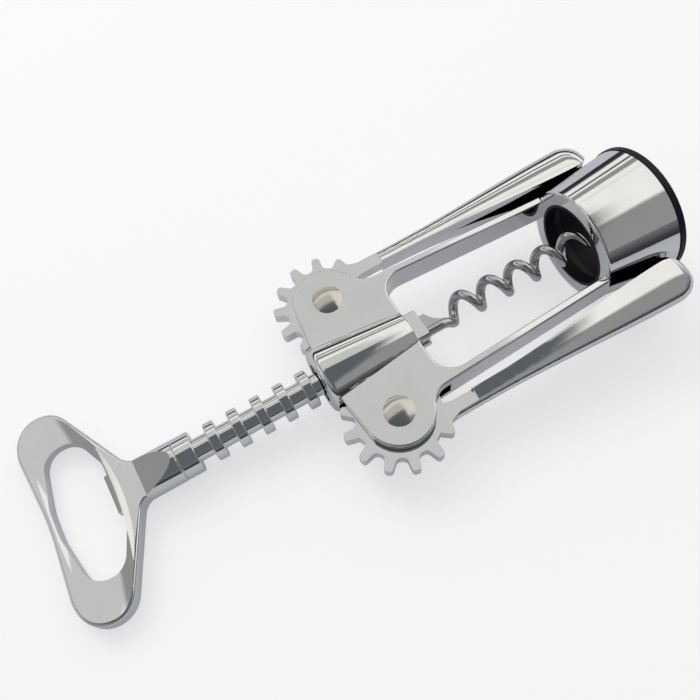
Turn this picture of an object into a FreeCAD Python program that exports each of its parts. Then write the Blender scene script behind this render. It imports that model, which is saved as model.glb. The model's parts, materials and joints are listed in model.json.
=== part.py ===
import FreeCAD, Part
import math
import os

import Sketcher

Vector = FreeCAD.Vector

doc = FreeCAD.newDocument("wing_corkscrew")

# Driving dimensions, in millimetres
# The tool axis is X, with the handle at its low end, the bell at its high end and X = 0 at the rivets.
# Y goes across, through both rivets, and Z stands on the faces of the plates.

DIMENSIONS = [
    ("rack_pitch", 6.6, "distance between neighbouring rack rings"),
    ("ring_count", 9, "rack rings"),
    ("ring_radius", 5.15, "rack ring and end block"),
    ("ring_width", 2.8, "rack ring"),
    ("ring_round", 0.4, "rounding of a ring's rim"),
    ("shaft_radius", 3.05, "rack shaft between its rings"),
    ("first_ring", -42.9, "middle of the ring next to the collar"),
    ("tail_start", -61.0, "end of the shaft inside the handle's neck"),
    ("block_start", 12.8, "end block that grips the worm, from here"),
    ("block_end", 18.0, "end block, to here"),
    ("block_shoulder", 0.6, "end block, round shoulder before its flats"),
    ("block_flat", 3.5, "end block, tool axis to its pressed flats"),
    ("collar_start", -53.2, "face of the stop collar against the handle"),
    ("collar_end", -48.4, "face of the stop collar that meets the barrel"),
    ("collar_radius", 5.55, "stop collar"),
    ("collar_round", 0.35, "rounded rims of the stop collar and of the neck"),
    ("collar_play", 0.05, "stop collar on the shaft"),
    ("gear_teeth", 13, "teeth on a full turn of the gear"),
    ("gear_sector", 8, "whole teeth on a lever"),
    ("gear_tip_radius", 14.95, "gear tooth tips"),
    ("gear_root_radius", 11.2, "gear tooth roots"),
    ("tooth_root_width", 2.9, "gear tooth above its gullets"),
    ("tooth_tip_width", 2.1, "gear tooth at its tip"),
    ("tooth_round", 0.85, "rounding of a tooth's tip and of its gullets"),
    ("gear_width", 3.5, "thickness of gear and neck"),
    ("pivot_offset", 18.62, "tool axis to rivet axis"),
    ("pin_radius", 3.0, "rivet shank"),
    ("pin_play", 0.05, "lever on its rivet"),
    ("head_radius", 4.0, "rivet head"),
    ("head_height", 1.4, "rivet head, at its crown"),
    ("head_rim", 0.5, "rivet head, upright rim below its dome"),
    ("slot_play", 0.35, "gear in the frame's slot, beside its faces and past its tips"),
    ("frame_depth", 8.5, "frame, over both plates"),
    ("lobe_radius", 9.3, "round ear of the plate about the rivet"),
    ("lobe_fillet", 6.0, "hollow corner between ear and rail"),
    ("plate_start", -10.9, "handle end of the plates, beside the barrel"),
    ("rail_start_out", 19.2, "tool axis to the line of the rail's outer side, at the rivets"),
    ("rail_start_in", 17.2, "tool axis to the line of the rail's inner side, at the rivets"),
    ("rail_end_out", 15.9, "tool axis to the rail's outer side, at the bell"),
    ("rail_end_in", 13.8, "tool axis to the rail's inner side, at the bell"),
    ("window_start", 14.4, "opening between the rails, from here"),
    ("window_round", 6.0, "rounded corners of that opening"),
    ("frame_round", 0.5, "rounded edges of plates and rails"),
    ("barrel_start", -12.8, "handle end of the barrel"),
    ("barrel_end", 14.2, "worm end of the barrel"),
    ("barrel_big_radius", 9.4, "barrel at the handle end"),
    ("barrel_small_radius", 6.5, "barrel at the worm end"),
    ("barrel_lip", 2.0, "rounding of the barrel's handle end"),
    ("barrel_bore", 5.4, "bore that guides the rack"),
    ("bell_start", 65.8, "small end of the bell"),
    ("bell_end", 86.3, "end of the bell's metal"),
    ("bell_small_radius", 16.1, "bell outside, small end"),
    ("bell_big_radius", 18.4, "bell outside, at the black rim"),
    ("bell_wall", 1.3, "bell"),
    ("bell_round", 0.8, "rounding of the bell's small end"),
    ("bell_ring", 1.5, "flat ring at the bell's small end"),
    ("liner_hole", 11.5, "hole of the liner at the small end"),
    ("liner_wall", 0.8, "liner"),
    ("liner_step", 69.2, "shoulder that the bottle's lip meets"),
    ("liner_lead", 14.2, "liner inside, at the shoulder"),
    ("liner_bore", 14.8, "straight bore for the bottle's lip"),
    ("bore_start", 72.9, "straight bore, from here"),
    ("bore_end", 84.0, "straight bore, to here"),
    ("liner_flange", 2.1, "black rim over the bell's mouth"),
    ("mouth_radius", 18.7, "black rim, outside"),
    ("mouth_bore", 16.4, "black rim, inside"),
    ("mouth_round", 0.6, "rounding of the black rim"),
    ("handle_end", -88.7, "far edge of the bow"),
    ("handle_depth", 5.0, "bow thickness"),
    ("handle_round", 0.8, "rounded edges of the bow"),
    ("neck_radius", 5.6, "round neck of the handle"),
    ("neck_end", -67.0, "neck runs into the bow, up to here"),
    ("facet_start", -63.4, "sloping flat on the neck, low edge"),
    ("facet_end", -54.2, "sloping flat on the neck, high edge"),
    ("dish_middle", -77.4, "middle of the dished face round the cap lifter hole"),
    ("dish_half_width", 9.1, "dished face, on the tool axis"),
    ("dish_height", 16.0, "centre of the dish's round cutter, above the bow's face"),
    ("dish_swing", 75.0, "circle on which the cutter's centre swings"),
    ("dish_lean", 54.8, "lean of that circle away from the neck, degrees"),
    ("lip_edge", -71.4, "straight lip that lifts a cap"),
    ("lip_length", 10.5, "straight lip that lifts a cap"),
    ("lever_tip", 86.4, "free end of the levers"),
    ("lever_wall", 1.2, "wall of the hollow grip"),
    ("hollow_start", 42.5, "hollow of the grip, from here"),
    ("hollow_end", 84.6, "hollow of the grip, to here"),
    ("flat_end", 19.1, "flats on the lever's neck, up to here"),
    ("wire_radius", 1.3, "worm wire"),
    ("worm_radius", 2.95, "tool axis to the wire's centre"),
    ("worm_pitch", 8.78, "worm"),
    ("worm_crest", 30.3, "X of the first crest of the worm"),
    ("tip_radius", 0.3, "point of the worm"),
    ("tab_width", 1.3, "thickness of the worm's flat root tab"),
    ("tab_seat", 4.0, "depth of wire and tab in the end block"),
]

sheet = doc.addObject("Spreadsheet::Sheet", "dimensions")
for row, (alias, value, note) in enumerate(DIMENSIONS, start=1):
    sheet.set(f"A{row}", alias)
    sheet.set(f"B{row}", str(value))
    sheet.set(f"C{row}", note)
    sheet.setAlias(f"B{row}", alias)
doc.recompute()


class Size:
    """A length: its value now, and the sheet expression that it follows."""

    def __init__(self, value, text):
        self.value = value
        self.text = text

    def combine(self, other, sign, result):
        return Size(result, f"({self.text} {sign} {as_size(other).text})")

    def __add__(self, other):
        return self.combine(other, "+", self.value + as_size(other).value)

    def __sub__(self, other):
        return self.combine(other, "-", self.value - as_size(other).value)

    def __mul__(self, other):
        return self.combine(other, "*", self.value * as_size(other).value)

    def __truediv__(self, other):
        return self.combine(other, "/", self.value / as_size(other).value)

    def __neg__(self):
        return Size(-self.value, f"(0 - {self.text})")


def as_size(length):
    return length if isinstance(length, Size) else Size(length, str(length))


def of(alias):
    """Size named in the sheet."""
    return Size(float(sheet.get(alias)), f"dimensions.{alias}")


def mm(alias):
    """Value of one driving dimension."""
    return of(alias).value


# Where the tool lies: on the black rim of the bell and on the far edge of the handle

MOUTH_END = mm("bell_end") + mm("liner_flange")
LYING_LENGTH = MOUTH_END - mm("handle_end")
REST_ANGLE = math.degrees(math.atan2(mm("mouth_radius") - mm("handle_depth") / 2, LYING_LENGTH))
TILT = FreeCAD.Rotation(Vector(0, 1, 0), -REST_ANGLE)
RIM_BOTTOM = TILT.multVec(Vector(MOUTH_END, 0, -mm("mouth_radius")))
BOW_END = TILT.multVec(Vector(mm("handle_end"), 0, 0))
LYING = FreeCAD.Placement(Vector(-(RIM_BOTTOM.x + BOW_END.x) / 2, 0, -RIM_BOTTOM.z), TILT)

RIGHT_PIVOT = FreeCAD.Placement(Vector(0, mm("pivot_offset"), 0), FreeCAD.Rotation())
LEFT_PIVOT = FreeCAD.Placement(Vector(0, -mm("pivot_offset"), 0), FreeCAD.Rotation(Vector(1, 0, 0), 180))

parts = []


def finish_part(part, local=FreeCAD.Placement()):
    """Lay a finished sub-part where it belongs and keep it for export."""
    doc.recompute()
    part.Placement = LYING.multiply(local)
    parts.append(part)


# Sketches and features

def new_body(label):
    body = doc.addObject("PartDesign::Body", label)
    body.Label = label
    return body


def origin_of(body, role):
    return next(item for item in body.Origin.OriginFeatures if item.Role == role)


def new_sketch(body, name, plane="XY_Plane", offset=Vector()):
    """Sketch on a plane of the body, moved by an offset given as along, across and out of it."""
    sketch = body.newObject("Sketcher::SketchObject", f"{body.Label}_{name}")
    sketch.AttachmentSupport = (origin_of(body, plane), "")
    sketch.MapMode = "FlatFace"
    sketch.AttachmentOffset = FreeCAD.Placement(offset, FreeCAD.Rotation())
    return sketch


def flat(x, y):
    return Vector(x, y, 0)


def draw_polygon(sketch, corners):
    """Closed polygon whose corners follow the sheet."""
    spots = [flat(as_size(x).value, as_size(y).value) for x, y in corners]
    first = sketch.GeometryCount
    for here, there in zip(spots, spots[1:] + spots[:1]):
        sketch.addGeometry(Part.LineSegment(here, there), False)
    for number, (x, y) in enumerate(corners):
        line = first + number
        before = first + (number - 1) % len(corners)
        sketch.addConstraint(Sketcher.Constraint("Coincident", before, 2, line, 1))
        for kind, length in (("DistanceX", as_size(x)), ("DistanceY", as_size(y))):
            place = sketch.addConstraint(Sketcher.Constraint(kind, line, 1, length.value))
            sketch.setExpression(f"Constraints[{place}]", length.text)


def draw_circle(sketch, x, y, radius):
    """Circle whose radius follows the sheet."""
    circle = sketch.addGeometry(Part.Circle(flat(x, y), Vector(0, 0, 1), radius.value), False)
    place = sketch.addConstraint(Sketcher.Constraint("Radius", circle, radius.value))
    sketch.setExpression(f"Constraints[{place}]", radius.text)


def both_sides(half):
    """Corners of an outline that is the same on both sides of the tool axis."""
    return half + [(x, -y, radius) for x, y, radius in reversed(half)]


def draw_rounded(sketch, corners):
    """Closed outline of straight sides: each corner is (x, y, radius of its rounding)."""
    starts = []
    arcs = []
    count = len(corners)
    for number, (x, y, radius) in enumerate(corners):
        corner = flat(x, y)
        before = flat(*corners[number - 1][:2]) - corner
        after = flat(*corners[(number + 1) % count][:2]) - corner
        half = before.getAngle(after) / 2
        reach = radius / math.tan(half) if radius else 0
        start = corner + before.normalize() * reach
        end = corner + after.normalize() * reach
        middle = corner
        if radius:
            inward = (before + after).normalize()
            middle = corner + inward * (radius / math.sin(half) - radius)
        starts.append(start)
        arcs.append((start, middle, end, radius))
    for number, (start, middle, end, radius) in enumerate(arcs):
        following = starts[(number + 1) % count]
        side = flat(*corners[(number + 1) % count][:2]) - flat(*corners[number][:2])
        if (following - end).dot(side) <= 0:
            raise RuntimeError(f"{sketch.Label}: roundings overlap after corner {number}")
        if radius:
            sketch.addGeometry(Part.Arc(start, middle, end), False)
        sketch.addGeometry(Part.LineSegment(end, following), False)


def feature_of(kind, body, name, profile):
    feature = body.newObject(f"PartDesign::{kind}", f"{body.Label}_{name}")
    feature.Profile = profile
    return feature


def check_cut(body, feature, before):
    doc.recompute()
    if body.Shape.Volume > before - 0.01:
        raise RuntimeError(f"{feature.Label} cuts nothing")


def pad(body, name, sketch, length):
    """Pad to both sides of the sketch."""
    feature = feature_of("Pad", body, name, sketch)
    feature.Midplane = True
    feature.setExpression("Length", as_size(length).text)
    doc.recompute()
    return feature


def cut(body, name, sketch, length=None, way=0):
    """Pocket right through or to a length, to both sides of the sketch or only to its front (1) or back (-1)."""
    before = body.Shape.Volume
    feature = feature_of("Pocket", body, name, sketch)
    feature.Midplane = way == 0
    feature.Reversed = way > 0
    if length is None:
        feature.Type = "ThroughAll"
    else:
        feature.setExpression("Length", as_size(length).text)
    check_cut(body, feature, before)
    return feature


def revolve(body, name, sketch, axis="X_Axis"):
    """Full turn of a sketch about an axis of the body."""
    feature = feature_of("Revolution", body, name, sketch)
    feature.ReferenceAxis = (origin_of(body, axis), [""])
    feature.Angle = 360
    doc.recompute()
    return feature


def turn_away(body, name, sketch, axis):
    """Groove: a full turn of a sketch about one of its own axes."""
    before = body.Shape.Volume
    feature = feature_of("Groove", body, name, sketch)
    feature.ReferenceAxis = (sketch, [axis])
    feature.Angle = 360
    check_cut(body, feature, before)
    return feature


def blend(body, name, sketches, cutting=False):
    """Smooth loft through sketches, which adds to the body or cuts it."""
    before = body.Shape.Volume if cutting else 0
    feature = feature_of("SubtractiveLoft" if cutting else "AdditiveLoft", body, name, sketches[0])
    feature.Sections = sketches[1:]
    if cutting:
        check_cut(body, feature, before)
    doc.recompute()
    return feature


def fillet(body, name, base, wanted, radius):
    """Round those edges of a feature for which wanted(edge) is true."""
    edges = [f"Edge{n}" for n, edge in enumerate(base.Shape.Edges, start=1) if wanted(edge)]
    feature = body.newObject("PartDesign::Fillet", f"{body.Label}_{name}")
    feature.Base = (base, edges)
    feature.setExpression("Radius", as_size(radius).text)
    doc.recompute()
    return feature


# Rack shaft

def make_rack_shaft():
    body = new_body("rack_shaft")
    core = new_sketch(body, "core")
    rise = of("shaft_radius")
    draw_polygon(core, [
        (of("tail_start"), 0),
        (of("tail_start"), rise),
        (of("block_start"), rise),
        (of("block_start"), of("ring_radius")),
        (of("block_end"), of("ring_radius")),
        (of("block_end"), 0),
    ])
    revolve(body, "shaft", core)

    rim = new_sketch(body, "ring_profile")
    half = mm("ring_width") / 2
    middle = mm("first_ring")
    top = mm("ring_radius")
    draw_rounded(rim, [
        (middle - half, mm("shaft_radius") - 0.5, 0),
        (middle + half, mm("shaft_radius") - 0.5, 0),
        (middle + half, top, mm("ring_round")),
        (middle - half, top, mm("ring_round")),
    ])
    ring = revolve(body, "ring", rim)
    rack = body.newObject("PartDesign::LinearPattern", "rack_shaft_rings")
    rack.Originals = [ring]
    rack.Direction = (origin_of(body, "X_Axis"), [""])
    rack.setExpression("Length", "dimensions.rack_pitch * (dimensions.ring_count - 1)")
    rack.setExpression("Occurrences", "dimensions.ring_count")
    body.Tip = rack
    doc.recompute()

    flats = new_sketch(body, "flats", "XZ_Plane")
    past = of("block_end") + 1
    flat_start = of("block_start") + of("block_shoulder")
    for side in (1, -1):
        draw_polygon(flats, [
            (flat_start, of("block_flat") * side),
            (past, of("block_flat") * side),
            (past, of("ring_radius") * side * 1.5),
            (flat_start, of("ring_radius") * side * 1.5),
        ])
    cut(body, "pressed_flats", flats)

    saw = new_sketch(body, "saw_cut", "XZ_Plane")
    height = as_size(ROOT.z)
    half_slot = of("tab_width") / 2
    draw_polygon(saw, [
        (of("block_end") - of("tab_seat"), height - half_slot),
        (past, height - half_slot),
        (past, height + half_slot),
        (of("block_end") - of("tab_seat"), height + half_slot),
    ])
    cut(body, "tab_slot", saw)

    socket = new_sketch(body, "socket", "YZ_Plane", Vector(0, 0, mm("block_end")))
    draw_circle(socket, ROOT.y, ROOT.z, of("wire_radius"))
    cut(body, "wire_socket", socket, of("tab_seat") * 2)
    finish_part(body)


def make_collar():
    body = new_body("shaft_collar")
    profile = new_sketch(body, "profile")
    bore = of("shaft_radius") + of("collar_play")
    draw_polygon(profile, [
        (of("collar_start"), bore),
        (of("collar_start"), of("collar_radius")),
        (of("collar_end"), of("collar_radius")),
        (of("collar_end"), bore),
    ])
    ring = revolve(body, "ring", profile)

    def on_outer_rim(edge):
        box = edge.BoundBox
        return box.XLength < 0.01 and box.YLength > 2 * mm("ring_radius")

    fillet(body, "soft_rims", ring, on_outer_rim, of("collar_round"))
    finish_part(body)


# Worm

def helix_point(angle):
    """Wire centre and direction at an angle about the tool axis, 0 at a crest, in degrees."""
    turn = math.radians(angle)
    radius = mm("worm_radius")
    advance = mm("worm_pitch") / (2 * math.pi)
    centre = Vector(
        mm("worm_crest") + advance * turn,
        radius * math.cos(turn),
        radius * math.sin(turn),
    )
    direction = Vector(advance, -radius * math.sin(turn), radius * math.cos(turn))
    return centre, direction.normalize()


def biarc(start, start_way, end, end_way):
    """Two arcs that join two points and meet with one tangent."""
    chord = end - start
    ways = start_way + end_way
    square = 2 * (1 - start_way.dot(end_way))
    along = chord.dot(ways)
    reach = (-along + math.sqrt(along * along + square * chord.dot(chord))) / square
    start_tip = start + start_way * reach
    end_tip = end - end_way * reach
    joint = (start_tip + end_tip) / 2
    edges = []
    for near, tip, far in ((start, start_tip, joint), (joint, end_tip, end)):
        base = (near + far) / 2
        side = (near - base).Length
        leg = (tip - near).Length
        rise = (tip - base).normalize()
        half = math.acos(side / leg)
        radius = side / math.sin(half)
        edges.append(Part.Arc(near, base + rise * (radius - radius * math.cos(half)), far).toShape())
    return edges


def tube(edges, first_radius, last_radius):
    """Round wire along edges, with its radius at both ends."""
    path = Part.Wire(edges)
    shell = Part.BRepOffsetAPI.MakePipeShell(path)
    first = edges[0]
    last = edges[-1]
    ends = (
        (first.valueAt(first.FirstParameter), first.tangentAt(first.FirstParameter), first_radius),
        (last.valueAt(last.LastParameter), last.tangentAt(last.LastParameter), last_radius),
    )
    shell.add(Part.Wire(Part.makeCircle(first_radius, ends[0][0], ends[0][1])))
    if last_radius != first_radius:
        shell.add(Part.Wire(Part.makeCircle(last_radius, ends[1][0], ends[1][1])))
    shell.build()
    shell.makeSolid()
    return shell.shape()


# The wire leaves the end block along the tool axis, on the worm's own cylinder.

ROOT_ANGLE = 153
ENTRY_ANGLE = -150
TAPER_ANGLE = 1470
TIP_ANGLE = 1620
ROOT = Vector(0, mm("worm_radius") * math.cos(math.radians(ROOT_ANGLE)),
              mm("worm_radius") * math.sin(math.radians(ROOT_ANGLE)))
BEND_START = 22.6
TAB_CURVE = [(24.6, -1.6), (21.9, -0.3), (20.0, 2.4)]


def worm_edges(first_angle, last_angle, step=90):
    """Quarter turns of the worm."""
    edges = []
    angle = first_angle
    while angle < last_angle - 1:
        following = min(angle + step, last_angle)
        edges += biarc(*helix_point(angle), *helix_point(following))
        angle = following
    return edges


def least_gap(edges):
    """Least distance between strands of the wire, from points along its path."""
    spots = []
    for edge in edges:
        for step in range(12):
            share = edge.FirstParameter + (edge.LastParameter - edge.FirstParameter) * step / 12
            spots.append(edge.valueAt(share))
    lengths = [0.0]
    for here, there in zip(spots, spots[1:]):
        lengths.append(lengths[-1] + (there - here).Length)
    quarter = 0.75 * 2 * math.pi * mm("worm_radius")
    return min(
        (spots[i] - spots[j]).Length
        for i in range(len(spots))
        for j in range(i + 1, len(spots))
        if lengths[j] - lengths[i] > quarter
    ) - 2 * mm("wire_radius")


def make_worm():
    seat = Vector(mm("block_end") - mm("tab_seat"), ROOT.y, ROOT.z)
    bend = Vector(BEND_START, ROOT.y, ROOT.z)
    root = [Part.LineSegment(seat, bend).toShape()]
    root += biarc(bend, Vector(1, 0, 0), *helix_point(ENTRY_ANGLE))
    turns = worm_edges(ENTRY_ANGLE, TAPER_ANGLE)
    point = worm_edges(TAPER_ANGLE, TIP_ANGLE, TIP_ANGLE - TAPER_ANGLE)
    print("least gap between strands of the worm, mm:", round(least_gap(root + turns + point), 2))

    wire = tube(root + turns, mm("wire_radius"), mm("wire_radius"))
    tip = tube(point, mm("wire_radius"), mm("tip_radius"))

    # The flat tab widens from the wire towards the end block.
    thin, middle, wide = [flat(*spot) for spot in TAB_CURVE]
    outline = [
        Part.LineSegment(flat(seat.x, ROOT.y), flat(thin.x, ROOT.y)),
        Part.LineSegment(flat(thin.x, ROOT.y), thin),
        Part.Arc(thin, middle, wide),
        Part.LineSegment(wide, flat(seat.x, wide.y)),
        Part.LineSegment(flat(seat.x, wide.y), flat(seat.x, ROOT.y)),
    ]
    face = Part.Face(Part.Wire([curve.toShape() for curve in outline]))
    tab = face.extrude(Vector(0, 0, mm("tab_width")))
    tab.translate(Vector(0, 0, ROOT.z - mm("tab_width") / 2))

    worm = doc.addObject("Part::Feature", "worm")
    worm.Shape = wire.fuse([tip, tab]).removeSplitter()
    finish_part(worm)


# Frame

def make_frame():
    body = new_body("frame")
    outline = new_sketch(body, "outline")
    draw_rounded(outline, both_sides([
        (mm("plate_start"), mm("barrel_small_radius"), 0),
        (-mm("lobe_radius"), mm("pivot_offset"), 0),
        (0, mm("rail_start_out"), 0),
        (mm("bell_start"), mm("rail_end_out"), 0),
    ]))
    pad(body, "plate", outline, of("frame_depth"))

    ears = new_sketch(body, "ears")
    for side in (1, -1):
        draw_circle(ears, 0, side * mm("pivot_offset"), of("lobe_radius"))
    plate = pad(body, "lobes", ears, of("frame_depth"))

    def in_hollow_corner(edge):
        box = edge.BoundBox
        upright = box.ZLength > mm("frame_depth") - 0.1 and box.XLength < 0.01
        return upright and 2 < box.XMin < mm("window_start") and abs(box.Center.y) > mm("pivot_offset") - 1

    plate = fillet(body, "hollow_corners", plate, in_hollow_corner, of("lobe_fillet"))

    window = new_sketch(body, "window_outline")
    slope = (mm("rail_start_in") - mm("rail_end_in")) / mm("bell_start")
    draw_rounded(window, both_sides([
        (mm("window_start"), mm("rail_start_in") - slope * mm("window_start"), mm("window_round")),
        (mm("bell_start") + 2, mm("rail_end_in") - slope * 2, 0),
    ]))
    plate = cut(body, "window", window)

    def on_plate_rim(edge):
        box = edge.BoundBox
        return box.ZLength < 0.01 and abs(abs(box.ZMin) - mm("frame_depth") / 2) < 0.01

    fillet(body, "soft_edges", plate, on_plate_rim, of("frame_round"))

    barrel = new_sketch(body, "barrel_profile")
    draw_rounded(barrel, [
        (mm("barrel_start"), 0, 0),
        (mm("barrel_start"), mm("barrel_big_radius"), mm("barrel_lip")),
        (mm("barrel_end"), mm("barrel_small_radius"), mm("frame_round")),
        (mm("barrel_end"), 0, 0),
    ])
    revolve(body, "barrel", barrel)

    bore = new_sketch(body, "bore_circle", "YZ_Plane")
    draw_circle(bore, 0, 0, of("barrel_bore"))
    cut(body, "bore", bore)

    holes = new_sketch(body, "rivet_holes")
    for side, name in ((1, "right"), (-1, "left")):
        slot = new_sketch(body, f"slot_{name}")
        draw_circle(slot, 0, side * mm("pivot_offset"), of("gear_tip_radius") + of("slot_play"))
        cut(body, f"gear_slot_{name}", slot, of("gear_width") + of("slot_play") * 2)
        draw_circle(holes, 0, side * mm("pivot_offset"), of("pin_radius"))
    cut(body, "rivet_bores", holes)
    finish_part(body)


def make_rivet(side, place):
    body = new_body(f"pivot_rivet_{side}")
    radius = mm("head_radius")
    seat = mm("frame_depth") / 2
    rim = seat + mm("head_rim")
    crown = seat + mm("head_height")
    dome_radius = (radius ** 2 + (crown - rim) ** 2) / (crown - rim) / 2
    shoulder = crown - dome_radius + math.sqrt(dome_radius ** 2 - radius ** 2 / 4)
    profile = new_sketch(body, "profile", "XZ_Plane")
    side_route = [
        (radius, -rim), (radius, -seat), (mm("pin_radius"), -seat),
        (mm("pin_radius"), seat), (radius, seat), (radius, rim),
    ]
    for here, there in zip(side_route, side_route[1:]):
        profile.addGeometry(Part.LineSegment(flat(*here), flat(*there)), False)
    for end in (1, -1):
        dome = Part.Arc(flat(radius, end * rim), flat(radius / 2, end * shoulder), flat(0, end * crown))
        profile.addGeometry(dome, False)
    profile.addGeometry(Part.LineSegment(flat(0, crown), flat(0, -crown)), False)
    revolve(body, "rivet", profile, "Z_Axis")
    finish_part(body, place)


# Bell and its liner

BELL_SLOPE = (mm("bell_big_radius") - mm("bell_small_radius")) / (mm("bell_end") - mm("bell_start"))


def bell_inside(x):
    """Radius of the bell's inner wall."""
    return mm("bell_small_radius") - mm("bell_wall") + BELL_SLOPE * (x - mm("bell_start"))


def make_bell():
    body = new_body("bell")
    ring_end = mm("bell_start") + mm("bell_ring")
    hole = mm("liner_hole") + mm("liner_wall")
    profile = new_sketch(body, "profile")
    draw_rounded(profile, [
        (mm("bell_start"), hole, 0),
        (mm("bell_start"), mm("bell_small_radius"), mm("bell_round")),
        (mm("bell_end"), mm("bell_big_radius"), 0),
        (mm("bell_end"), bell_inside(mm("bell_end")), 0),
        (ring_end, bell_inside(ring_end), 0),
        (ring_end, hole, 0),
    ])
    revolve(body, "shell", profile)
    finish_part(body)


def make_liner():
    body = new_body("bell_liner")
    ring_end = mm("bell_start") + mm("bell_ring")
    mouth = mm("bell_end") + mm("liner_flange")
    profile = new_sketch(body, "profile")
    draw_rounded(profile, [
        (mm("bell_start"), mm("liner_hole"), 0),
        (mm("bell_start"), mm("liner_hole") + mm("liner_wall"), 0),
        (ring_end, mm("liner_hole") + mm("liner_wall"), 0),
        (ring_end, bell_inside(ring_end), 0),
        (mm("bell_end"), bell_inside(mm("bell_end")), 0),
        (mm("bell_end"), mm("mouth_radius"), mm("mouth_round") / 2),
        (mouth, mm("mouth_radius"), mm("mouth_round")),
        (mouth, mm("mouth_bore"), mm("mouth_round")),
        (mm("bore_end"), mm("liner_bore"), 0),
        (mm("bore_start"), mm("liner_bore"), 0),
        (mm("liner_step"), mm("liner_lead"), 0),
        (mm("liner_step"), mm("liner_hole"), 0),
    ])
    revolve(body, "sleeve", profile)
    finish_part(body)


# Handle

# One side of each outline: x, y, rounding
BOW_SIDE = [(-58.0, 5.0, 0), (-64.6, 5.0, 5), (-91.5, 55.4, 7.8), (-87.5, 0, 80)]
HOLE_SIDE = [(-70.4, 8.6, 4), (-74.7, 18.6, 5), (-83.2, 18.6, 5.5), (-86.0, 4.0, 15)]


def scoop(body, name, side):
    """Dish one face: a round cutter swings on a leaning circle, so the dish narrows and bends to its ends."""
    radius = math.hypot(mm("dish_height"), mm("dish_half_width"))
    centre = flat(mm("dish_middle"), side * (mm("handle_depth") / 2 + mm("dish_height")))
    lean = math.radians(mm("dish_lean"))
    hub = centre + flat(-math.sin(lean), side * math.cos(lean)) * mm("dish_swing")
    along = flat(math.cos(lean), side * math.sin(lean))
    profile = new_sketch(body, name, "XZ_Plane")
    profile.addGeometry(Part.Circle(centre, Vector(0, 0, 1), radius), False)
    profile.addGeometry(Part.LineSegment(hub - along, hub + along), True)
    turn_away(body, f"{name}_cut", profile, "Axis0")


def make_handle():
    body = new_body("handle")
    outline = new_sketch(body, "bow_outline")
    draw_rounded(outline, BOW_SIDE + [(x, -y, radius) for x, y, radius in reversed(BOW_SIDE[:-1])])
    bow = pad(body, "bow", outline, of("handle_depth"))

    def on_bow_rim(edge):
        box = edge.BoundBox
        level = box.ZLength < 0.01 and abs(abs(box.ZMin) - mm("handle_depth") / 2) < 0.01
        return level and box.XMin < mm("facet_start")

    fillet(body, "soft_edges", bow, on_bow_rim, of("handle_round"))

    neck = new_sketch(body, "neck_profile")
    draw_rounded(neck, [
        (mm("neck_end"), 0, 0),
        (mm("neck_end"), mm("neck_radius"), 0),
        (mm("collar_start"), mm("neck_radius"), mm("collar_round")),
        (mm("collar_start"), 0, 0),
    ])
    revolve(body, "neck", neck)

    slopes = new_sketch(body, "facet_outline", "XZ_Plane")
    past = of("neck_radius") * 2
    for side in (1, -1):
        draw_polygon(slopes, [
            (of("neck_end") - 1, of("handle_depth") / 2 * side),
            (of("facet_start"), of("handle_depth") / 2 * side),
            (of("facet_end"), of("neck_radius") * side),
            (of("facet_end"), past * side),
            (of("neck_end") - 1, past * side),
        ])
    cut(body, "facets", slopes)

    socket = new_sketch(body, "socket_circle", "YZ_Plane", Vector(0, 0, mm("collar_start")))
    draw_circle(socket, 0, 0, of("shaft_radius"))
    cut(body, "shaft_socket", socket, (of("collar_start") - of("tail_start")) * 2)

    scoop(body, "dish_top", 1)
    scoop(body, "dish_bottom", -1)

    hole = new_sketch(body, "hole_outline")
    lip = mm("lip_length") / 2
    bulge = HOLE_SIDE[0][0]
    draw_rounded(hole, both_sides([(mm("lip_edge"), lip, 0), (bulge, lip, 0)] + HOLE_SIDE))
    cut(body, "cap_lifter_hole", hole)
    finish_part(body)


# Levers, each drawn about its rivet

# The grip's half oval stands on its open rim, and widens between these two distances from the rivet.
GRIP_START = 12.0
WIDENING = (24.0, 84.0)
OUTER_SIDE = (7.95, 10.35)
OPEN_RIM = (3.5, -0.2)
HALF_THICKNESS = (2.75, 5.2)
GRIP_SECTIONS = 6
HOLLOW_SECTIONS = 4

# Neck with the blunt last tooth
NECK = [
    (2.0, 8.0, 0),
    (6.2, 9.3, 0),
    (8.5, 11.1, 0.5),
    (9.4, 10.9, 0.4),
    (10.4, 8.0, 0.8),
    (13.5, 7.0, 0),
    (13.5, 3.6, 0),
    (9.0, 2.7, 1.5),
    (2.0, -8.0, 0),
]
FLAT_SIDES = (1.0, 10.0)
FLAT_ROUND = 4.0
TIP_MIDDLE = 4.7
TIP_LENGTH = 9.5
TIP_RADIUS = 7.0


def spread(start, end, count):
    """Evenly spaced stations from start to end."""
    return [start + (end - start) * number / (count - 1) for number in range(count)]


def grip_size(station):
    """Outer side, open rim and half thickness of the grip at a station."""
    share = min(max((station - WIDENING[0]) / (WIDENING[1] - WIDENING[0]), 0), 1)
    share = share * share * (3 - 2 * share)
    return [small + (big - small) * share for small, big in (OUTER_SIDE, OPEN_RIM, HALF_THICKNESS)]


def half_oval(body, name, station, outer, rim, half_width):
    """Section of the grip: a half ellipse that stands on the open rim."""
    sketch = new_sketch(body, name, "YZ_Plane", Vector(0, 0, station))
    edge = flat(rim, half_width)
    oval = Part.Ellipse(flat(outer, 0), edge, flat(rim, 0))
    for quarter in (-1, 0):
        start = quarter * math.pi / 2
        sketch.addGeometry(Part.ArcOfEllipse(oval, start, start + math.pi / 2), False)
    sketch.addGeometry(Part.LineSegment(edge, flat(rim, -half_width)), False)
    return sketch


def grip_section(body, station):
    return half_oval(body, f"grip_{station:.0f}", station, *grip_size(station))


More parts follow.
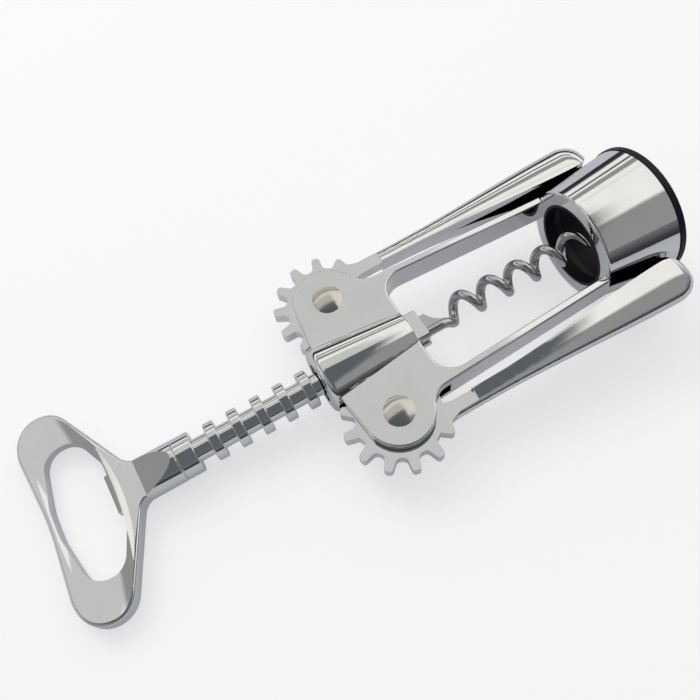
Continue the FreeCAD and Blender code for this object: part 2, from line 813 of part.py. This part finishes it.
def hollow_section(body, station):
    """The hollow deepens from its shallow end until its wall has one thickness."""
    outer, rim, half_width = grip_size(station)
    share = (station - mm("hollow_start")) / (mm("hollow_end") - mm("hollow_start"))
    fill = 0.3 + 0.7 * math.sin(math.pi / 2 * min(share * 1.6, 1))
    wall = mm("lever_wall")
    crown = rim + (outer - wall - rim) * fill
    return half_oval(body, f"hollow_{station:.0f}", station, crown, rim, (half_width - wall) * fill)


def make_lever(side, place):
    body = new_body(f"lever_{side}")
    disc = new_sketch(body, "gear_disc")
    draw_circle(disc, 0, 0, of("gear_root_radius"))
    pad(body, "gear_blank", disc, of("gear_width"))

    tooth = new_sketch(body, "tooth_outline")
    root = mm("tooth_root_width") / 2
    tip = mm("tooth_tip_width") / 2
    foot = root * 1.8
    ankle = mm("gear_root_radius") + 0.4
    draw_rounded(tooth, [
        (-foot, 0.5 - mm("gear_root_radius"), 0),
        (foot, 0.5 - mm("gear_root_radius"), 0),
        (root, -ankle, mm("tooth_round")),
        (tip, -mm("gear_tip_radius"), mm("tooth_round")),
        (-tip, -mm("gear_tip_radius"), mm("tooth_round")),
        (-root, -ankle, mm("tooth_round")),
    ])
    first = pad(body, "tooth", tooth, of("gear_width"))
    gear = body.newObject("PartDesign::PolarPattern", f"{body.Label}_teeth")
    gear.Originals = [first]
    gear.Axis = (origin_of(body, "Z_Axis"), [""])
    gear.Reversed = True
    gear.setExpression("Angle", "360 / dimensions.gear_teeth * (dimensions.gear_sector - 1)")
    gear.setExpression("Occurrences", "dimensions.gear_sector")
    body.Tip = gear
    doc.recompute()

    neck = new_sketch(body, "neck_outline")
    draw_rounded(neck, NECK)
    pad(body, "neck", neck, of("gear_width"))

    past_tip = mm("lever_tip") + 2
    blend(body, "grip", [
        grip_section(body, station) for station in spread(GRIP_START, past_tip, GRIP_SECTIONS)
    ])
    blend(body, "hollow", [
        hollow_section(body, station)
        for station in spread(mm("hollow_start"), mm("hollow_end"), HOLLOW_SECTIONS)
    ], cutting=True)

    dome = new_sketch(body, "tip_profile", offset=Vector(0, TIP_MIDDLE, 0))
    start = mm("lever_tip") - TIP_LENGTH
    oval = Part.Ellipse(flat(mm("lever_tip"), 0), flat(start, TIP_RADIUS), flat(start, 0))
    past = mm("lever_tip") + 5
    dome.addGeometry(Part.ArcOfEllipse(oval, 0, math.pi / 2), False)
    route = [(start, TIP_RADIUS), (start, 2 * TIP_RADIUS), (past, 2 * TIP_RADIUS), (past, 0), (mm("lever_tip"), 0)]
    for here, there in zip(route, route[1:]):
        dome.addGeometry(Part.LineSegment(flat(*here), flat(*there)), False)
    turn_away(body, "round_tip", dome, "H_Axis")

    # The grip is milled flat beside the neck, to a round end.
    low, high = FLAT_SIDES
    for face, name in ((1, "top"), (-1, "bottom")):
        flats = new_sketch(body, f"flat_outline_{name}", offset=Vector(0, 0, face * mm("gear_width") / 2))
        draw_rounded(flats, [
            (GRIP_START - 2, low, 0),
            (mm("flat_end"), low, FLAT_ROUND),
            (mm("flat_end"), high, FLAT_ROUND),
            (GRIP_START - 2, high, 0),
        ])
        cut(body, f"flat_{name}", flats, max(HALF_THICKNESS), way=face)

    bore = new_sketch(body, "pivot_circle")
    draw_circle(bore, 0, 0, of("pin_radius") + of("pin_play"))
    cut(body, "pivot_bore", bore)
    finish_part(body, place)


make_frame()
make_bell()
make_liner()
make_handle()
make_collar()
make_rack_shaft()
make_worm()
make_lever("right", RIGHT_PIVOT)
make_lever("left", LEFT_PIVOT)
make_rivet("right", RIGHT_PIVOT)
make_rivet("left", LEFT_PIVOT)

# Check and write

for item in doc.Objects:
    if "Invalid" in item.State or "Error" in item.State:
        raise RuntimeError(f"{item.Label} failed: {item.State}")
os.makedirs("parts", exist_ok=True)
for part in parts:
    if part.Shape.isNull() or not part.Shape.isValid():
        raise RuntimeError(f"{part.Label} has no valid shape")
    part.Shape.exportStep(f"parts/{part.Label}.step")
    print(part.Label, "solids", len(part.Shape.Solids), "volume", round(part.Shape.Volume, 1))
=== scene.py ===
import json
import math

import bmesh
import bpy
from mathutils import Euler, Matrix, Vector


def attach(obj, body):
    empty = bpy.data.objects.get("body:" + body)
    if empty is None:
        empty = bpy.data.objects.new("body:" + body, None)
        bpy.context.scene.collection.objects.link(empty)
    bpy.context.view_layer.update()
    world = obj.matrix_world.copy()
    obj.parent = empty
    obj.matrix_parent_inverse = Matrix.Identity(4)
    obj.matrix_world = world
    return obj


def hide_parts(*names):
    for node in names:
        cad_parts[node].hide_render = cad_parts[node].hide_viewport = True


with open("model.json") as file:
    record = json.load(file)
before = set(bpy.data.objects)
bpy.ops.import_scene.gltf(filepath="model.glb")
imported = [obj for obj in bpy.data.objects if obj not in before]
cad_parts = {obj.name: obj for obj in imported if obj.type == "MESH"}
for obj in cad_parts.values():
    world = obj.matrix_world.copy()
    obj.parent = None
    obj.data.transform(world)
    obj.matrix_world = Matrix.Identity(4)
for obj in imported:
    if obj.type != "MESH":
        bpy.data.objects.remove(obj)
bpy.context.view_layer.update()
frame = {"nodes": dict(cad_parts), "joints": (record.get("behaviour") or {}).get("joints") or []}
nodes = frame["nodes"]

# Camera: where the photographer stood, over the handle's side of the tool

CAMERA_PLACE = (-0.04845, -0.07989, 0.18743)
CAMERA_TURN = (28.478, 0.224, -29.216)
LENS = 39.32
SENSOR = 36.0
NEAREST_SEEN = 0.005


def make_camera():
    camera_data = bpy.data.cameras.new("camera")
    camera_data.lens = LENS
    camera_data.sensor_width = SENSOR
    camera_data.clip_start = NEAREST_SEEN
    camera = bpy.data.objects.new("camera", camera_data)
    camera.location = CAMERA_PLACE
    camera.rotation_euler = Euler([math.radians(angle) for angle in CAMERA_TURN])
    bpy.context.scene.collection.objects.link(camera)
    bpy.context.scene.camera = camera


# Shapes that stand for solids: open grips with a round nose, and a bow with fuller ends.
# A lever's own frame, in millimetres, has x to the bell, y away from the tool and its rivet at the origin.

MM = 0.001

# Grip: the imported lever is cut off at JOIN, and a new open shell goes on from there to TIP
JOIN = 42.56
TIP = 86.4
NOSE_LENGTH = 7.0
NOSE_START = TIP - NOSE_LENGTH
NOSE_MIDDLE = 5.0

# Where the section starts and stops to widen, and its sizes at those two places
WIDENING = (24.0, 84.0)
OUTER_SIDE = (7.95, 10.35)
OPEN_RIM = (3.5, -0.2)
HALF_THICKNESS = (2.75, 5.2)

# Hollow: it deepens from JOIN over HOLLOW_OPENS, and closes again just before the tip
WALL = 1.2
HOLLOW_OPENS = 24.0
HOLLOW_CLOSES = 7.0
HOLLOW_END = 85.2

# Mesh of the grip, and the small rounding of its edges
RING_STEPS = 28
STRAIGHT_STEPS = 36
NOSE_STEPS = 20
SAME_POINT = 0.002
SHARP_ANGLE = math.radians(50)
EDGE_ROUNDING = 0.25
EDGE_STEPS = 3
CUT_TOLERANCE = 0.001

# Bow: past the neck, points move outward by up to BOW_GAIN between these distances from the middle line
BOW_NECK = -60.0
BOW_WIDENS = (17.5, 27.05)
BOW_GAIN = 1.75

joints = {joint["name"]: joint for joint in frame["joints"]}
along_tool = Vector(joints["rack_slide"]["axis"])


def place_at(joint, outward):
    """From a frame in millimetres, with x along the tool, to the place of a joint."""
    turned = Matrix((along_tool, outward, along_tool.cross(outward))).transposed() * MM
    return Matrix.Translation(joints[joint]["pos_m"]) @ turned.to_4x4()


def share_of(value, start, length):
    """How far a value has come along a length, from 0 to 1."""
    return min(max((value - start) / length, 0.0), 1.0)


def smooth_step(value, low, high):
    share = share_of(value, low, high - low)
    return share * share * (3 - 2 * share)


def round_off(value, start, length):
    """Share of a width that is left where a form closes like a quarter ellipse."""
    return math.sqrt(1 - share_of(value, start, length) ** 2)


def grip_ring(station):
    """One section: round the outside of the half oval, and back through the hollow."""
    share = smooth_step(station, *WIDENING)
    outer, rim, half = [a + (b - a) * share for a, b in (OUTER_SIDE, OPEN_RIM, HALF_THICKNESS)]
    taper = round_off(station, NOSE_START, NOSE_LENGTH)
    outer, rim = [NOSE_MIDDLE + (edge - NOSE_MIDDLE) * taper for edge in (outer, rim)]
    half *= taper
    opening = share_of(station, JOIN, HOLLOW_OPENS)
    fill = opening * round_off(station, HOLLOW_END - HOLLOW_CLOSES, HOLLOW_CLOSES)
    crown = (outer - rim - WALL) * fill
    angles = [math.pi * (step / RING_STEPS - 0.5) for step in range(RING_STEPS + 1)]
    ring = [(station, rim + (outer - rim) * math.cos(a), half * math.sin(a)) for a in angles]
    hollow = [(station, rim + crown * math.cos(a), (half - WALL) * fill * math.sin(a)) for a in angles]
    return ring + hollow[::-1]


def grip_stations():
    """Places of the rings, even along the grip and closer together towards the tip."""
    straight = [JOIN + (NOSE_START - JOIN) * step / STRAIGHT_STEPS for step in range(STRAIGHT_STEPS)]
    turns = [math.pi / 2 * step / NOSE_STEPS for step in range(NOSE_STEPS + 1)]
    return straight + [NOSE_START + NOSE_LENGTH * math.sin(turn) for turn in turns]


def add_piece(name, mesh, node, body):
    piece = bpy.data.objects.new(name, mesh)
    bpy.context.scene.collection.objects.link(piece)
    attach(piece, body)
    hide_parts(node)
    return piece


def make_grip(side, place):
    """Open half-round shell, whose faces in the hollow have material 1, the plating with painted shade."""
    shell = bmesh.new()
    rings = [[shell.verts.new(place @ Vector(point)) for point in grip_ring(x)] for x in grip_stations()]
    for here, there in zip(rings, rings[1:]):
        for corner in range(len(here)):
            after = (corner + 1) % len(here)
            face = shell.faces.new((here[corner], here[after], there[after], there[corner]))
            face.material_index = int(min(corner, after) > RING_STEPS)
    bmesh.ops.remove_doubles(shell, verts=shell.verts, dist=SAME_POINT * MM)
    bmesh.ops.recalc_face_normals(shell, faces=shell.faces)
    mesh = bpy.data.meshes.new(f"lever_{side}_grip")
    shell.to_mesh(mesh)
    shell.free()
    mesh.shade_smooth()
    mesh.set_sharp_from_angle(angle=SHARP_ANGLE)
    grip = add_piece(f"lever_{side}_grip", mesh, f"lever_{side}", f"lever_{side}")
    edge = grip.modifiers.new("rim", "BEVEL")
    edge.width = EDGE_ROUNDING * MM
    edge.segments = EDGE_STEPS
    edge.angle_limit = SHARP_ANGLE
    edge.harden_normals = True
    return grip


def make_gear_end(side, place):
    """The lever as it is, up to where the grip's open hollow starts."""
    mesh = nodes[f"lever_{side}"].data.copy()
    lever = bmesh.new()
    lever.from_mesh(mesh)
    bmesh.ops.bisect_plane(
        lever, geom=lever.verts[:] + lever.edges[:] + lever.faces[:], dist=CUT_TOLERANCE * MM,
        plane_co=place @ Vector((JOIN, 0, 0)), plane_no=along_tool, clear_outer=True,
    )
    lever.to_mesh(mesh)
    lever.free()
    return add_piece(f"lever_{side}_gear", mesh, f"lever_{side}", f"lever_{side}")


def make_bow():
    """The handle, with the ends of its bow drawn out."""
    mesh = nodes["handle"].data.copy()
    place = place_at("screw_spin", Vector((0, 1, 0)))
    back = place.inverted()
    for vertex in mesh.vertices:
        point = back @ vertex.co
        if point.x < BOW_NECK:
            gain = BOW_GAIN * smooth_step(abs(point.y), *BOW_WIDENS)
            point.y += math.copysign(gain, point.y)
            vertex.co = place @ point
    return add_piece("handle_bow", mesh, "handle", "screw")


def make_shapes():
    pieces = [make_bow()]
    for side, outward in (("right", 1), ("left", -1)):
        place = place_at(f"lever_{side}_hinge", Vector((0, outward, 0)))
        pieces += [make_grip(side, place), make_gear_end(side, place)]
    return pieces


# Node trees, for materials and for the studio round the tool

# Sockets of Blender's Mix node when it mixes colours
MIX_SHARE, MIX_FIRST, MIX_SECOND = 0, 6, 7
MIX_RESULT = 2


class Shader:
    """A node tree that is built up one step at a time."""

    def __init__(self, tree, coordinates):
        self.tree = tree
        self.tree.nodes.clear()
        self.place = self.add("ShaderNodeTexCoord").outputs[coordinates]

    def give(self, node, socket, value):
        """Links another node's output to an input, or sets a plain value there."""
        if isinstance(value, bpy.types.NodeSocket):
            self.tree.links.new(value, node.inputs[socket])
        else:
            node.inputs[socket].default_value = value

    def fill(self, node, **inputs):
        """Gives a node its inputs by name, with an underscore for each space."""
        for name, value in inputs.items():
            self.give(node, name.replace("_", " "), value)

    def add(self, kind, **inputs):
        node = self.tree.nodes.new(kind)
        self.fill(node, **inputs)
        return node

    def noise(self, scale, detail=2.0, roughness=0.5):
        node = self.add(
            "ShaderNodeTexNoise",
            Vector=self.place, Scale=scale, Detail=detail, Roughness=roughness,
        )
        return node.outputs["Fac"]

    def remap(self, value, low, high, to_low=0.0, to_high=1.0):
        node = self.add(
            "ShaderNodeMapRange",
            Value=value, From_Min=low, From_Max=high, To_Min=to_low, To_Max=to_high,
        )
        return node.outputs["Result"]

    def soft_edge(self, value, edge, before=0.0, past=1.0):
        """One number before an edge and another past it, with a smooth change between."""
        result = self.remap(value, *edge, before, past)
        result.node.interpolation_type = "SMOOTHSTEP"
        return result

    def calculate(self, operation, first, second):
        node = self.add("ShaderNodeMath")
        node.operation = operation
        self.give(node, 0, first)
        self.give(node, 1, second)
        return node.outputs[0]

    def mix(self, share, first, second):
        node = self.add("ShaderNodeMix")
        node.data_type = "RGBA"
        for socket, value in ((MIX_SHARE, share), (MIX_FIRST, first), (MIX_SECOND, second)):
            self.give(node, socket, value)
        return node.outputs[MIX_RESULT]

    def ramp(self, value, stops):
        """Colour ramp through (place, colour) stops."""
        node = self.add("ShaderNodeValToRGB", Fac=value)
        elements = node.color_ramp.elements
        elements[0].position, elements[0].color = stops[0]
        elements[1].position, elements[1].color = stops[-1]
        for place, colour in stops[1:-1]:
            elements.new(place).color = colour
        return node.outputs["Color"]

    def bump(self, height, strength, distance, under=None):
        node = self.add("ShaderNodeBump", Height=height, Strength=strength, Distance=distance)
        if under:
            self.give(node, "Normal", under)
        return node.outputs["Normal"]


class Material(Shader):
    """A Principled surface."""

    def __init__(self, name):
        self.material = bpy.data.materials.new(name)
        self.material.use_nodes = True
        super().__init__(self.material.node_tree, "Object")
        self.surface = self.add("ShaderNodeBsdfPrincipled")
        self.add("ShaderNodeOutputMaterial", Surface=self.surface.outputs["BSDF"])

    def finish(self, **inputs):
        self.fill(self.surface, **inputs)
        return self.material


# Materials

# Platings: tint, roughness, and how strongly the metal's slow waves bend a reflection
PLATINGS = {
    "chrome_casting": ((0.86, 0.86, 0.86, 1.0), 0.05, 0.06),
    "chrome_turned": ((0.86, 0.86, 0.87, 1.0), 0.05, 0.08),
    "steel_wire": ((0.60, 0.60, 0.61, 1.0), 0.12, 0.35),
    "nickel_rivet": ((0.70, 0.67, 0.61, 1.0), 0.16, 0.20),
    # Painted shade: this near-black tint for the grips' hollow stands in for the shade and dark
    # reflections inside it
    "chrome_painted_shade": ((0.045, 0.05, 0.075, 1.0), 0.22, 0.30),
}
DULLER = 0.94
SMOOTHER, ROUGHER = 0.7, 1.5

# Scales of the noises, and depths in metres of the reliefs
SMEAR_SCALE = 90.0
WAVE_SCALE = 140.0
SPECK_SCALE = 1800.0
WAVE_DEPTH = 0.0003
SPECK_DEPTH = 0.0001
SPECK_STRENGTH = 0.02

# Black liner: its two tones, their roughness, its shine and its grain
LINER_TONES = ((0.004, 0.004, 0.008, 1), (0.007, 0.007, 0.012, 1))
LINER_ROUGHNESS = (0.36, 0.46)
LINER_SHINE = 0.25
CLOUD_SCALE = 120.0
GRAIN_SCALE = 2600.0
GRAIN_DEPTH = 0.00004
GRAIN_STRENGTH = 0.25


def plating(name):
    """Plating over polished metal, which is never quite flat."""
    tint, roughness, wave = PLATINGS[name]
    shader = Material(name)
    smear = shader.noise(SMEAR_SCALE, detail=3.0, roughness=0.6)
    waves = shader.noise(WAVE_SCALE, detail=1.0, roughness=0.4)
    specks = shader.noise(SPECK_SCALE)
    rough = shader.remap(smear, 0.35, 0.75, roughness * SMOOTHER, roughness * ROUGHER)
    normal = shader.bump(waves, wave, WAVE_DEPTH)
    normal = shader.bump(specks, SPECK_STRENGTH, SPECK_DEPTH, normal)
    duller = [value * DULLER for value in tint[:3]] + [1.0]
    cloud = shader.mix(shader.remap(smear, 0.3, 0.7), tint, duller)
    return shader.finish(Metallic=1.0, Base_Color=cloud, Roughness=rough, Normal=normal)


def black_plastic():
    """Moulded liner with a fine satin grain."""
    shader = Material("black_plastic")
    cloud = shader.remap(shader.noise(CLOUD_SCALE), 0.3, 0.7)
    grain = shader.noise(GRAIN_SCALE, detail=3.0, roughness=0.6)
    colour = shader.mix(cloud, *LINER_TONES)
    rough = shader.remap(cloud, 0.0, 1.0, *LINER_ROUGHNESS)
    normal = shader.bump(grain, GRAIN_STRENGTH, GRAIN_DEPTH)
    return shader.finish(
        Base_Color=colour, Roughness=rough, Normal=normal, Specular_IOR_Level=LINER_SHINE,
    )


def cover(pieces, material):
    for piece in pieces:
        # A new grip has nothing to clear, and clearing would undo which of its faces lie in the hollow.
        if piece.data.materials:
            piece.data.materials.clear()
        piece.data.materials.append(material)


def dress(shapes):
    cover([nodes["frame"], nodes["bell"]] + shapes, plating("chrome_casting"))
    cover([nodes["rack_shaft"], nodes["shaft_collar"]], plating("chrome_turned"))
    cover([nodes["worm"]], plating("steel_wire"))
    cover([nodes["pivot_rivet_right"], nodes["pivot_rivet_left"]], plating("nickel_rivet"))
    cover([nodes["bell_liner"]], black_plastic())

    # Painted shade: the plating inside the grips gets a near-black, duller tint that stands in for the
    # shade and dark reflections in their hollow.
    hollow_painted_shade = plating("chrome_painted_shade")
    for piece in shapes:
        if piece.name.endswith("grip"):
            piece.data.materials.append(hollow_painted_shade)


# Studio, with lengths in metres and the tool's middle over the origin

# Floor of pale paper, which glows, with painted shade where the chrome mirrors it: darker and bluer in
# reflections than to the camera
FLOOR_SIZE = 4.0
FLOOR_LEVEL = -0.00002
PAPER = (0.45, 0.45, 0.455, 1)
PAPER_PAINTED_SHADE_IN_CHROME = (0.42, 0.44, 0.50, 1)
PAPER_ROUGHNESS = 0.8
GLOW_TINT = (0.985, 0.985, 1, 1)
GLOW = 0.57
GLOW_PAINTED_SHADE_IN_CHROME = GLOW * 0.3

# Lights: place, length of a side, power in watts and colour
LIGHTS = {
    "key": ((-0.25, 0.75, 0.75), 0.5, 3.0, (1.0, 0.975, 0.94)),
    "fill": ((0.2, -0.1, 1.2), 2.0, 4.5, (0.92, 0.94, 1.0)),
}

# The room round the tool: 0 is the horizon at +Y, 0.5 overhead and 1 the horizon at -Y
ROOM = [
    (0.00, (0.03, 0.03, 0.035, 1)),
    (0.06, (0.04, 0.04, 0.045, 1)),
    (0.08, (0.95, 0.935, 0.89, 1)),
    (0.20, (0.95, 0.935, 0.89, 1)),
    (0.45, (0.40, 0.41, 0.40, 1)),
    (0.75, (0.26, 0.27, 0.27, 1)),
    (0.88, (0.16, 0.17, 0.18, 1)),
    (0.96, (0.05, 0.05, 0.06, 1)),
    (1.00, (0.03, 0.03, 0.035, 1)),
]

# Ceiling over the table, as the chrome mirrors it, and its tones
CEILING_SIZE = 2.0
CEILING_HEIGHT = 0.45
GREY = (0.62, 0.63, 0.61, 1)
CREAM = (0.97, 0.955, 0.905, 1)
SLATE = (0.115, 0.130, 0.142, 1)
DIM = (0.30, 0.31, 0.30, 1)

# Where one tone of the ceiling gives way to the next, first along Y and then along X
DIM_CORNER_ENDS = (-0.16, -0.10)
SLATE_ENDS = (0.05, 0.075)
WINDOWS_START = (0.30, 0.34)
DIM_SIDE_ENDS = (-0.48, -0.36)
CREAM_STARTS = (0.13, 0.17)

# Window light and wall beyond the tool, by their distance along Y
WINDOWS = [
    (0.30, GREY),
    (0.36, CREAM),
    (0.46, CREAM),
    (0.50, DIM),
    (0.66, DIM),
    (0.70, CREAM),
    (0.80, CREAM),
    (0.84, SLATE),
    (1.00, SLATE),
]


def make_floor():
    bpy.ops.mesh.primitive_plane_add(size=FLOOR_SIZE, location=(0, 0, FLOOR_LEVEL))
    floor = bpy.context.object
    floor.name = "floor"
    paper = Material("floor_paper")
    # Painted shade: rays from the chrome see the paper darker, bluer and with less glow, as if the floor
    # under the tool lay in shadow
    chrome_shade_mask = paper.add("ShaderNodeLightPath").outputs["Is Glossy Ray"]
    colour = paper.mix(chrome_shade_mask, PAPER, PAPER_PAINTED_SHADE_IN_CHROME)
    glow = paper.remap(chrome_shade_mask, 0.0, 1.0, GLOW, GLOW_PAINTED_SHADE_IN_CHROME)
    floor.data.materials.append(paper.finish(
        Base_Color=colour, Roughness=PAPER_ROUGHNESS, Emission_Color=GLOW_TINT, Emission_Strength=glow,
    ))


def make_light(name, place, side, power, colour):
    """Soft light for the floor, which the chrome doesn't mirror."""
    light_data = bpy.data.lights.new(name, "AREA")
    light_data.shape = "SQUARE"
    light_data.size = side
    light_data.energy = power
    light_data.color = colour
    light = bpy.data.objects.new(name, light_data)
    light.location = place
    light.rotation_euler = (-Vector(place)).to_track_quat("-Z", "Y").to_euler()
    light.visible_glossy = False
    bpy.context.scene.collection.objects.link(light)


def make_room():
    world = bpy.data.worlds.new("studio")
    world.use_nodes = True
    bpy.context.scene.world = world
    room = Shader(world.node_tree, "Generated")
    parts = room.add("ShaderNodeSeparateXYZ", Vector=room.place).outputs
    turn = room.calculate("DIVIDE", room.calculate("ARCTAN2", parts["Z"], parts["Y"]), math.pi)
    background = room.add("ShaderNodeBackground", Color=room.ramp(turn, ROOM))
    room.add("ShaderNodeOutputWorld", Surface=background.outputs["Background"])


def make_ceiling():
    """Slate over the tool, cream past its bell, and grey and windows beyond it, for mirrors only."""
    bpy.ops.mesh.primitive_plane_add(size=CEILING_SIZE, location=(0, 0, CEILING_HEIGHT))
    card = bpy.context.object
    card.name = "ceiling"
    material = bpy.data.materials.new("ceiling_light")
    material.use_nodes = True
    ceiling = Shader(material.node_tree, "Object")
    parts = ceiling.add("ShaderNodeSeparateXYZ", Vector=ceiling.place).outputs
    x, y = parts["X"], parts["Y"]

    colour = ceiling.mix(ceiling.soft_edge(y, SLATE_ENDS, 1.0, 0.0), GREY, SLATE)
    past_bell = ceiling.mix(ceiling.soft_edge(y, DIM_CORNER_ENDS, 1.0, 0.0), CREAM, DIM)
    colour = ceiling.mix(ceiling.soft_edge(x, CREAM_STARTS), colour, past_bell)
    colour = ceiling.mix(ceiling.soft_edge(y, WINDOWS_START), colour, ceiling.ramp(y, WINDOWS))
    colour = ceiling.mix(ceiling.soft_edge(x, DIM_SIDE_ENDS, 1.0, 0.0), colour, DIM)

    emission = ceiling.add("ShaderNodeEmission", Color=colour)
    ceiling.add("ShaderNodeOutputMaterial", Surface=emission.outputs["Emission"])
    card.data.materials.append(material)
    card.visible_camera = card.visible_diffuse = card.visible_shadow = False


def make_studio():
    make_floor()
    for name, settings in LIGHTS.items():
        make_light(name, *settings)
    make_room()
    make_ceiling()
    bpy.context.scene.view_settings.view_transform = "Standard"


make_camera()
dress(make_shapes())
make_studio()
